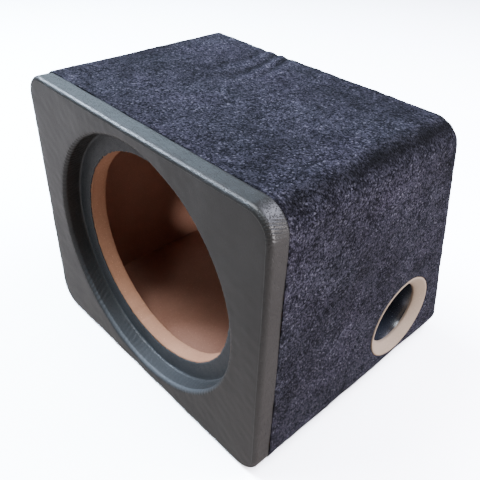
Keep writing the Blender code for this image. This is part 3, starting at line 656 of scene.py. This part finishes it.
belled = [
    (PIPE_BORE + BELL_WIDTH * (1 - share) ** 2, pipe_high.x - BELL_DEPTH * share)
    for share in np.linspace(1, 0.01, 14)
]
pipe_profile = [
    *belled,
    (PIPE_RADIUS - 0.0002, pipe_high.x),
    (PIPE_RADIUS, pipe_high.x - 0.0004),
    (PIPE_RADIUS, pipe_low.x + 0.0006),
    (PIPE_RADIUS - 0.0006, pipe_low.x),
    (PIPE_BORE + 0.0006, pipe_low.x),
    (PIPE_BORE, pipe_low.x + 0.0006),
]
pipe = surface(
    "port_pipe", turned_about_port(pipe_profile), pipe_plastic(), rows_close=True,
    columns_close=True,
)
pipe.data.set_sharp_from_angle(angle=math.radians(50))
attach(pipe, "enclosure")
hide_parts("port_tube")


# ------------------------------------------------------------------ carpet
# Short non-woven pile, sprayed with glue and stretched on. One length covers the right
# side, the top and the left side and turns in under the base. The base and the back have
# cut pieces of their own.
wrap_low, wrap_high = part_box("carpet_wrap")
base_low, base_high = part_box("carpet_base")
BOX_CORNER = 0.026
PILE = base_high.z - base_low.z
HALF, TOP = wrap_high.x, wrap_high.z
BACK_FOOT = wrap_high.y
BACK_LEAN = 0.075  # how much shallower the box is at the top
SLANT = math.atan2(BACK_LEAN, TOP)
UPRIGHT, LEVEL = TOP - 2 * BOX_CORNER, 2 * (HALF - BOX_CORNER)
BEND = BOX_CORNER * np.pi / 2
STRETCHES = np.cumsum([0, BEND, UPRIGHT, BEND, LEVEL, BEND, UPRIGHT, BEND])
RUNS = np.linspace(0, STRETCHES[-1], 441)
DEPTHS = np.r_[0, 0.0025, 0.006, 0.010, np.linspace(0.016, 0.984, 95), 0.991, 0.995, 0.998, 1]
PORT_RUN = BEND + PORT_Z - BOX_CORNER
HOLE_RADIUS = RING_RADIUS + 0.0004
HOLE_HALF = np.array([13, 11])  # cells left out round the port's centre, each way


def back_y(z):
    """The slanted back's outer face at height z: it leans in a straight line from the foot."""
    return BACK_FOOT - z * math.tan(SLANT)


def wrap_walk(run):
    """The point (x, z) this far along the wrap's outer face, and its outward direction: from
    under the right side round the corner, up the side, over the top and down the left side."""
    part = np.clip(np.searchsorted(STRETCHES, run, side="right") - 1, 0, 6)
    over = run - STRETCHES[part]
    corner = part // 2
    pivots = np.array([(1, 0), (1, 1), (-1, 1), (-1, 0)]) * (HALF - BOX_CORNER, UPRIGHT)
    turn = (corner - 1) * np.pi / 2 + np.where(part % 2 == 0, over / BOX_CORNER, np.pi / 2)
    way = np.stack([np.cos(turn), np.sin(turn)], -1)
    ahead = np.stack([-way[..., 1], way[..., 0]], -1)
    slide = np.where(part % 2 == 1, over, 0)[..., None]
    return pivots[corner] + (0, BOX_CORNER) + way * BOX_CORNER + ahead * slide, way


def wrap_depth(share, z):
    """Depth (y) at a share of the way from the wrap's front edge to the slanted back."""
    return wrap_low.y + share * (back_y(z) - wrap_low.y)


def wrap_sheet():
    """The wrap's outer face as a grid over the run and the depth, with the port's hole in it.
    Round the port a block of cells is drawn outwards from the port's centre: the block's
    rim stays, the inner block's rim goes to the hole's circle, and what lies between is
    shared evenly along each ray. The cells of the inner block are left out."""
    i, j = np.meshgrid(np.arange(len(RUNS)), np.arange(len(DEPTHS)), indexing="ij")
    nearest_run = np.argmin(np.abs(RUNS - PORT_RUN))
    nearest_depth = np.argmin(np.abs(wrap_depth(DEPTHS, PORT_Z) - PORT_Y))
    port_cell = np.array([nearest_run, nearest_depth])
    off = np.stack([i, j], -1) - port_cell
    reach = np.max(np.abs(off) / (2 * HOLE_HALF), axis=-1)
    rim = port_cell + off / np.where((reach > 0) & (reach < 1), reach, 1)[..., None]
    run = np.interp(rim[..., 0], np.arange(len(RUNS)), RUNS)
    spot, _ = wrap_walk(run)
    y = wrap_depth(np.interp(rim[..., 1], np.arange(len(DEPTHS)), DEPTHS), spot[..., 1])
    aside = np.stack([run - PORT_RUN, y - PORT_Y], -1)
    share = np.clip(2 * reach - 1, 0, 1)[..., None]
    distance = np.linalg.norm(aside, axis=-1, keepdims=True)
    aside = aside * (share + (1 - share) * HOLE_RADIUS / np.maximum(distance, 1e-9))
    spot, way = wrap_walk(PORT_RUN + aside[..., 0])
    points = np.stack([spot[..., 0], PORT_Y + aside[..., 1], spot[..., 1]], -1)
    middle = np.abs(np.stack([i, j], -1)[:-1, :-1] + 0.5 - port_cell)
    keep = np.any(middle > HOLE_HALF, axis=-1)
    return points, np.stack([way[..., 0], 0 * way[..., 0], way[..., 1]], -1), keep


pile_points, pile_way, pile_keep = wrap_sheet()
x, y, z = np.moveaxis(pile_points, -1, 0)

# Three creases run back over the top, where the carpet was pulled. The nap value carries the pile's
# random tone, painted shade in the creases, a painted highlight along the ridges beside them, and a
# band of painted shade over the right shoulder.
on_top = np.clip(pile_way[..., 2] * 4 - 3, 0, 1)
toward_back = np.clip((y + 0.02) / 0.06, 0, 1)
from_crease = x + 0.052 + 0.14 * (y - 0.08) + 0.004 * waves(pile_points, 0.09, 21)
creases = bell(from_crease, 0.0045) + 0.8 * bell(from_crease - 0.019, 0.004)
creases = (creases + 0.45 * bell(from_crease + 0.020, 0.005)) * on_top * toward_back
ridges = bell(from_crease - 0.009, 0.0045) + 0.8 * bell(from_crease + 0.010, 0.006)
ridges = (ridges + 0.5 * bell(from_crease - 0.030, 0.007)) * on_top * toward_back
nap_and_painted_light = 0.14 * waves(pile_points, 0.085, 22) + 0.10 * waves(pile_points, 0.03, 23)
# Painted light: the ridges are lighter and the creases darker.
nap_and_painted_light += 0.8 * ridges - 0.65 * creases
shoulder = np.arctan2(pile_way[..., 2], pile_way[..., 0])
# Painted shade: a dark band over the right shoulder.
nap_and_painted_light -= 0.72 * bell(shoulder - 0.92, 0.40) * (x > 0)
lift = 0.00022 * waves(pile_points, 0.06, 24) + 0.00010 * waves(pile_points, 0.011, 25)
lift += 0.00009 * waves(pile_points, 0.0055, 26, 24) - 0.0010 * creases + 0.0006 * ridges
front_gap, back_gap = y - wrap_low.y, back_y(z) - y
lift -= 0.0007 * np.clip(1 - front_gap / 0.0016, 0, 1) ** 2
lift -= 0.0006 * np.clip(1 - back_gap / 0.002, 0, 1) ** 2
rim_gap = np.hypot(y - PORT_Y, np.where(x > 0, z - PORT_Z, 1)) - HOLE_RADIUS
lift -= 0.0008 * np.clip(1 - rim_gap / 0.0025, 0, 1) ** 2
lift -= 0.0003 * (pile_way[..., 2] < -0.9)
pile_points = pile_points + pile_way * lift[..., None]

pile, pile_in, pile_out = effect(
    "carpet_pile", {"Vector": "Vector", "Tuft Size": "Float", "Nap and Painted Light": "Float"},
    {"Color": "Color", "Height": "Float"},
)
rate = maths(pile, "DIVIDE", 1.0, pile_in["Tuft Size"])
tufts = put(pile, "ShaderNodeTexVoronoi", {"Vector": pile_in["Vector"], "Scale": rate})
lot = put(pile, "ShaderNodeSeparateColor", {0: tufts.outputs["Color"]}).outputs
threads = noise(pile, pile_in["Vector"], maths(pile, "MULTIPLY", rate, 1.9), 2.0, 0.6)
mottle = noise(pile, pile_in["Vector"], maths(pile, "MULTIPLY", rate, 0.11), 4.0, 0.65)
hue = noise(pile, pile_in["Vector"], 17.0)
tone = maths(pile, "MULTIPLY_ADD", lot["Red"], 0.62, maths(pile, "MULTIPLY", threads, 1.5))
tone = maths(pile, "MULTIPLY_ADD", tufts.outputs["Distance"], -0.45, tone)
tone = maths(pile, "MULTIPLY_ADD", mottle, 0.9, tone)
tone = maths(pile, "MULTIPLY", maths(pile, "SUBTRACT", tone, 0.92), 1.25, clamp=True)
tone = maths(pile, "POWER", tone, 1.6)
dark = blend(pile, hue, (0.0022, 0.0019, 0.0040), (0.0022, 0.0025, 0.0038))
light = blend(pile, hue, (0.052, 0.0445, 0.067), (0.044, 0.047, 0.061))
colour = blend(pile, tone, dark, light)
flecks = maths(pile, "MULTIPLY", maths(pile, "SUBTRACT", lot["Green"], 0.90), 10.0, clamp=True)
flecks = maths(pile, "MULTIPLY", flecks, maths(pile, "MULTIPLY", threads, 1.1))
colour = blend(pile, flecks, colour, (0.13, 0.125, 0.16))
# The nap value scales the colour: random nap tone, and on the wrap painted shade in the creases and
# over the shoulder, and a painted highlight on the ridges.
brushed = maths(pile, "MAXIMUM", maths(pile, "ADD", pile_in["Nap and Painted Light"], 1.0), 0.15)
pile.links.new(blend(pile, 1.0, colour, brushed, "MULTIPLY"), pile_out["Color"])
height = maths(pile, "MULTIPLY_ADD", tufts.outputs["Distance"], -0.8, threads)
pile.links.new(maths(pile, "MULTIPLY_ADD", lot["Red"], 0.5, height), pile_out["Height"])


def carpet():
    """Matt charcoal pile with a blue cast, scaled by a per-point nap value: random nap tone, and
    painted shade and painted highlight.
    """
    material, tree, shader, place = finish("carpet")
    nap_and_painted_light_here = put(tree, "ShaderNodeAttribute", attribute_name="nap_and_painted_light").outputs["Fac"]
    look = use_effect(tree, pile, {"Vector": place, "Tuft Size": 0.0017, "Nap and Painted Light": nap_and_painted_light_here})
    tree.links.new(look["Color"], shader.inputs["Base Color"])
    shader.inputs["Roughness"].default_value = 0.95
    shader.inputs["Specular IOR Level"].default_value = 0.06
    shader.inputs["Sheen Weight"].default_value = 0.02
    shader.inputs["Sheen Roughness"].default_value = 0.5
    shader.inputs["Sheen Tint"].default_value = (0.8, 0.85, 1.0, 1)
    raise_up(tree, shader, look["Height"], 0.0011)
    return material


carpet_finish = carpet()


def lay_carpet(name, points, node, nap_and_painted_light_value, towards, keep=None, closed=False):
    """A pile sheet from its outer face: its nap and painted light kept at each point, its back by
    Solidify.
    """
    piece = surface(
        name, points, carpet_finish, columns_close=closed, keep=keep, towards=towards,
        values={"nap_and_painted_light": nap_and_painted_light_value},
    )
    backing = piece.modifiers.new("backing", "SOLIDIFY")
    backing.thickness = PILE
    backing.offset = -1
    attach(piece, "enclosure")
    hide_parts(node)
    return piece


wrap = lay_carpet(
    "carpet_over_sides_and_top", pile_points, "carpet_wrap", nap_and_painted_light, pile_way, pile_keep
)
WRAP_CUT = (float(STRETCHES[-1]), BACK_FOOT - wrap_low.y)
WRAP_AREA = WRAP_CUT[0] * WRAP_CUT[1] - (LEVEL + UPRIGHT + BEND) * BACK_LEAN
WRAP_AREA -= math.pi * HOLE_RADIUS**2

# The base's piece lies flat on the floor.
xs = np.linspace(base_low.x, base_high.x, 110)
ys = np.linspace(base_low.y, base_high.y, 100)
base_points = np.stack(np.meshgrid(xs, ys, [base_low.z], indexing="ij"), -1)[:, :, 0]
base_points[..., 2] += np.abs(0.00012 * waves(base_points, 0.02, 31))
base_nap = 0.2 * waves(base_points, 0.08, 32)
base_rug = lay_carpet("carpet_under_base", base_points, "carpet_base", base_nap, (0, 0, -1))

# The back's piece lies on the slant, between the wrap's edges, with a round hole for the
# terminal's cup.
PIN_UP, PIN_DEEP = 0.009, 0.007  # the hinge pin, from the middle of the cup's mouth
CUP_HOLE = 0.033
pin_low, pin_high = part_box("terminal_hinge_pin")
OUT = np.array([0, math.cos(SLANT), math.sin(SLANT)])
DOWN = np.array([0, math.sin(SLANT), -math.cos(SLANT)])
TERMINAL = (np.array(pin_low) + np.array(pin_high)) / 2 + DOWN * PIN_UP + OUT * PIN_DEEP
inset = PILE + 0.0004
rear_spots, _ = rounded_outline(
    ANGLES, HALF - inset, inset, TOP - inset, BOX_CORNER - PILE, (0, TERMINAL[2])
)
hole_up = CUP_HOLE * np.sin(ANGLES) * math.cos(SLANT)
hole_spots = np.stack([CUP_HOLE * np.cos(ANGLES), TERMINAL[2] + hole_up], -1)
shares = np.r_[0, 0.003, 0.008, np.linspace(0.016, 0.99, 46), 0.994, 0.998, 1][:, None, None]
rear_spots = hole_spots + (rear_spots - hole_spots) * shares
rear_points = np.stack([rear_spots[..., 0], back_y(rear_spots[..., 1]), rear_spots[..., 1]], -1)
rear_lift = 0.00020 * waves(rear_points, 0.06, 41) + 0.00012 * waves(rear_points, 0.010, 42)
rear_lift -= 0.0009 * np.clip(1 - (1 - shares[..., 0]) / 0.012, 0, 1) ** 2 + 0.0003
rear_points = rear_points + OUT * rear_lift[..., None]
rear_nap = 0.16 * waves(rear_points, 0.08, 43) + 0.12 * waves(rear_points, 0.03, 44)
rear_rug = lay_carpet(
    "carpet_over_back", rear_points, "carpet_rear", rear_nap, tuple(OUT), closed=True
)


# ------------------------------------------------------------------ push terminal
# A moulded cup in the back holds two sprung finger plates, red and black, on one steel
# pin through three ribs. Each presses a bare lead onto a brass contact. A foam ring seals
# the flange, and four pan-head screws hold it.
LEVER_X = 0.0078


def on_back(across, down, out):
    """Terminal coordinates (sideways, down the slope, outwards) as points in the frame."""
    return (
        TERMINAL + np.asarray(across)[..., None] * (1, 0, 0)
        + np.asarray(down)[..., None] * DOWN + np.asarray(out)[..., None] * OUT
    )


def plastic(name, low, high, roughness, texture):
    """Moulded plastic: spark-eroded grain of the given depth, with handling marks."""
    material, tree, shader, place = finish(name)
    marks = use_effect(tree, dust, {"Vector": place, "Patch Size": 0.012})
    base = blend(tree, marks["Patches"], low, high)
    base = blend(tree, maths(tree, "MULTIPLY", marks["Specks"], 0.15), base, (0.4, 0.39, 0.37))
    tree.links.new(base, shader.inputs["Base Color"])
    rough = maths(tree, "MULTIPLY_ADD", marks["Patches"], 0.16, roughness)
    tree.links.new(rough, shader.inputs["Roughness"])
    raise_up(tree, shader, noise(tree, place, 2400.0, 3.0, 0.6), texture)
    return material


def metal(name, low, high, roughness):
    """Plated metal, faintly brushed and clouded."""
    material, tree, shader, place = finish(name)
    cloud = noise(tree, place, 240.0, 4.0, 0.6)
    tree.links.new(blend(tree, cloud, low, high), shader.inputs["Base Color"])
    tree.links.new(maths(tree, "MULTIPLY_ADD", cloud, 0.25, roughness), shader.inputs["Roughness"])
    shader.inputs["Metallic"].default_value = 1.0
    brushed = noise(tree, stretched(tree, place, (300.0, 3000.0, 3000.0)), 1.0)
    raise_up(tree, shader, brushed, 0.00003)
    return material


def foam():
    """Closed-cell foam: dull black, with open cells on its cut edge."""
    material, tree, shader, place = finish("foam")
    cells = put(tree, "ShaderNodeTexVoronoi", {"Vector": place, "Scale": 1800.0})
    depth = cells.outputs["Distance"]
    tree.links.new(
        blend(tree, depth, (0.03, 0.03, 0.03), (0.008, 0.008, 0.008)), shader.inputs["Base Color"]
    )
    shader.inputs["Roughness"].default_value = 0.95
    raise_up(tree, shader, maths(tree, "SUBTRACT", 1.0, depth), 0.0003)
    return material


def moulded(name, node, material, edge, body):
    """A copy of a node's solid with its triangles joined, its flat faces made whole and its
    edges rounded to the given width."""
    mesh = NODES[node].data.copy()
    mesh.name = name
    shape = bmesh.new()
    shape.from_mesh(mesh)
    bmesh.ops.remove_doubles(shape, verts=shape.verts, dist=2e-6)
    bmesh.ops.dissolve_limit(
        shape, angle_limit=math.radians(1), verts=shape.verts, edges=shape.edges
    )
    shape.to_mesh(mesh)
    shape.free()
    mesh.materials.clear()
    mesh.materials.append(material)
    mesh.shade_smooth()
    piece = bpy.data.objects.new(name, mesh)
    bpy.context.scene.collection.objects.link(piece)
    rounding = piece.modifiers.new("rounding", "BEVEL")
    rounding.width = edge
    rounding.segments = 3
    rounding.limit_method = "ANGLE"
    rounding.angle_limit = math.radians(30)
    rounding.harden_normals = True
    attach(piece, body)
    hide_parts(node)
    return piece


def close_poles(piece):
    """Joins the points that a grid's poles and ends bring together."""
    shape = bmesh.new()
    shape.from_mesh(piece.data)
    bmesh.ops.remove_doubles(shape, verts=shape.verts, dist=2e-6)
    bmesh.ops.recalc_face_normals(shape, faces=shape.faces)
    shape.to_mesh(piece.data)
    shape.free()


def wire(name, path, radius, material):
    """A round wire along a path of points, its two ends domed. Each ring of points stands
    round the path in the plane of two directions square to it, and its radius falls to
    nothing over a quarter turn at each end."""
    path = np.asarray(path)
    along = np.gradient(path, axis=0)
    along /= np.linalg.norm(along, axis=1)[:, None]
    dome = np.linspace(0, np.pi / 2, 5)[1:]
    heads = [path[-1] + along[-1] * radius * math.sin(t) for t in dome]
    tails = [path[0] - along[0] * radius * math.sin(t) for t in dome[::-1]]
    middle = np.concatenate([tails, path, heads])
    along = np.concatenate([[along[0]] * 4, along, [along[-1]] * 4])
    size = radius * np.r_[np.cos(dome[::-1]), np.ones(len(path)), np.cos(dome)]
    side = np.cross(along, OUT)
    side /= np.linalg.norm(side, axis=1)[:, None]
    other = np.cross(side, along)
    turn = np.linspace(0, 2 * np.pi, 12, endpoint=False)[None, :, None]
    ring = np.cos(turn) * side[:, None] + np.sin(turn) * other[:, None]
    piece = surface(
        name, middle[:, None] + size[:, None, None] * ring, material, columns_close=True,
        towards=ring,
    )
    close_poles(piece)
    return piece


ABS = plastic("terminal_plastic", (0.016, 0.016, 0.017), (0.026, 0.026, 0.027), 0.38, 0.00010)
RED = plastic("red_plastic", (0.40, 0.012, 0.010), (0.50, 0.022, 0.016), 0.26, 0.00003)
BLACK = plastic("black_plastic", (0.012, 0.012, 0.013), (0.020, 0.020, 0.021), 0.26, 0.00003)
ZINC = metal("screw_steel", (0.50, 0.51, 0.53), (0.66, 0.66, 0.65), 0.24)
BRASS = metal("brass", (0.66, 0.46, 0.18), (0.80, 0.60, 0.28), 0.22)
moulded("terminal_bowl", "terminal_cup", ABS, 0.0004, "enclosure")
moulded("terminal_seal", "terminal_gasket", foam(), 0.0003, "enclosure")
moulded("hinge_pin", "terminal_hinge_pin", ZINC, 0.0002, "enclosure")

RIDGES_DOWN = (0.0, 0.002, 0.004)  # of the grip ridges, down from the cup's middle
RIDGE_HALF = 0.0046
LEVER_TOP = -0.004
SPRING_DOWN, SPRING_LOW, SPRING_HIGH = -0.001, -0.0134, -0.0078
SPRING_RADIUS, SPRING_WIRE, SPRING_TURNS = 0.0023, 0.0003, 4
for colour, side, material in (("red", -1, RED), ("black", 1, BLACK)):
    middle, body = side * LEVER_X, f"{colour}_lever"
    moulded(
        f"finger_plate_{colour}", f"terminal_lever_{colour}", material, 0.0005, body,
    )
    for number, down in enumerate(RIDGES_DOWN, 1):
        across = middle + np.linspace(-RIDGE_HALF, RIDGE_HALF, 9)
        ridge = wire(
            f"grip_ridge_{colour}_{number}",
            on_back(across, np.full(9, down), np.full(9, LEVER_TOP)), 0.0005, material,
        )
        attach(ridge, body)
    moulded(
        f"lead_contact_{colour}", f"terminal_contact_{colour}", BRASS, 0.00015, "enclosure",
    )
    turn = np.linspace(0, 2 * np.pi * SPRING_TURNS, 28 * SPRING_TURNS + 1)
    coil = on_back(
        middle + SPRING_RADIUS * np.cos(turn), SPRING_DOWN + SPRING_RADIUS * np.sin(turn),
        np.linspace(SPRING_LOW, SPRING_HIGH, len(turn)),
    )
    spring = wire(f"return_spring_{colour}", coil, SPRING_WIRE, ZINC)
    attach(spring, "enclosure")
    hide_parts(f"terminal_spring_{colour}")
    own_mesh(spring)


# ------------------------------------------------------------------ screws
# Zinc-plated steel. Four cross-recessed pan heads stand on the terminal's flange. The
# countersunk ones are driven flush from inside the box, or lie under the vinyl and the
# pile, so their shape stays as it is.
SCREW_CIRCLE = 0.038
SCREW_SEAT = 0.0053
SCREW_TIP = -0.0107
HEAD_RADIUS, HEAD_HEIGHT, SHANK_RADIUS = 0.003, 0.002, 0.0014
CROSS_HALF, CROSS_REACH, CROSS_DEPTH = 0.00042, 0.0017, 0.0011
DOME_ROWS = 26


def pan_head_screw(name, across, down, turned):
    """A domed head on a plain shank, turned about the outward axis. The head's height falls
    from the middle as an ellipse, less the depth of the cross: two slots at right angles,
    their walls and ends smoothed, that get shallower towards their ends."""
    radius = np.r_[np.linspace(0, 0.93, DOME_ROWS), 0.98, 1.0, 1.0, 0.97] * HEAD_RADIUS
    rise = HEAD_HEIGHT * (0.35 + 0.65 * np.sqrt(np.clip(1 - (radius / HEAD_RADIUS) ** 2.4, 0, 1)))
    rise[-2:] = (0.00025, 0)
    radius = np.r_[radius, SHANK_RADIUS, SHANK_RADIUS, 0]
    rise = np.r_[rise, 0, SCREW_TIP + 0.002 - SCREW_SEAT, SCREW_TIP - SCREW_SEAT]
    turn = np.linspace(0, 2 * np.pi, 72, endpoint=False)
    u, v = radius[:, None] * np.cos(turn - turned), radius[:, None] * np.sin(turn - turned)
    slot = np.minimum(np.abs(u), np.abs(v)) - CROSS_HALF
    walls = np.clip(-slot / 0.00016, 0, 1) * np.clip((CROSS_REACH - np.hypot(u, v)) / 0.0003, 0, 1)
    cross = CROSS_DEPTH * walls * (1 - 0.45 * np.hypot(u, v) / CROSS_REACH)
    cross[DOME_ROWS:] = 0
    out = SCREW_SEAT + rise[:, None] - cross
    ring_x, ring_down = radius[:, None] * np.cos(turn), radius[:, None] * np.sin(turn)
    points = on_back(across + ring_x, down + ring_down, out)
    piece = surface(name, points, ZINC, columns_close=True, towards=tuple(OUT))
    close_poles(piece)
    piece.data.set_sharp_from_angle(angle=math.radians(50))
    return piece


for number in range(1, 5):
    turn = math.pi / 2 * (number - 0.5)
    head = pan_head_screw(
        f"flange_screw_{number}", SCREW_CIRCLE * math.cos(turn), SCREW_CIRCLE * math.sin(turn),
        0.35 * number,
    )
    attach(head, "enclosure")
    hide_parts(f"terminal_screw_{number}")

for name, node in NODES.items():
    if name.startswith(("frame_screw", "baffle_screw", "rear_screw")):
        node.data.materials.clear()
        node.data.materials.append(ZINC)
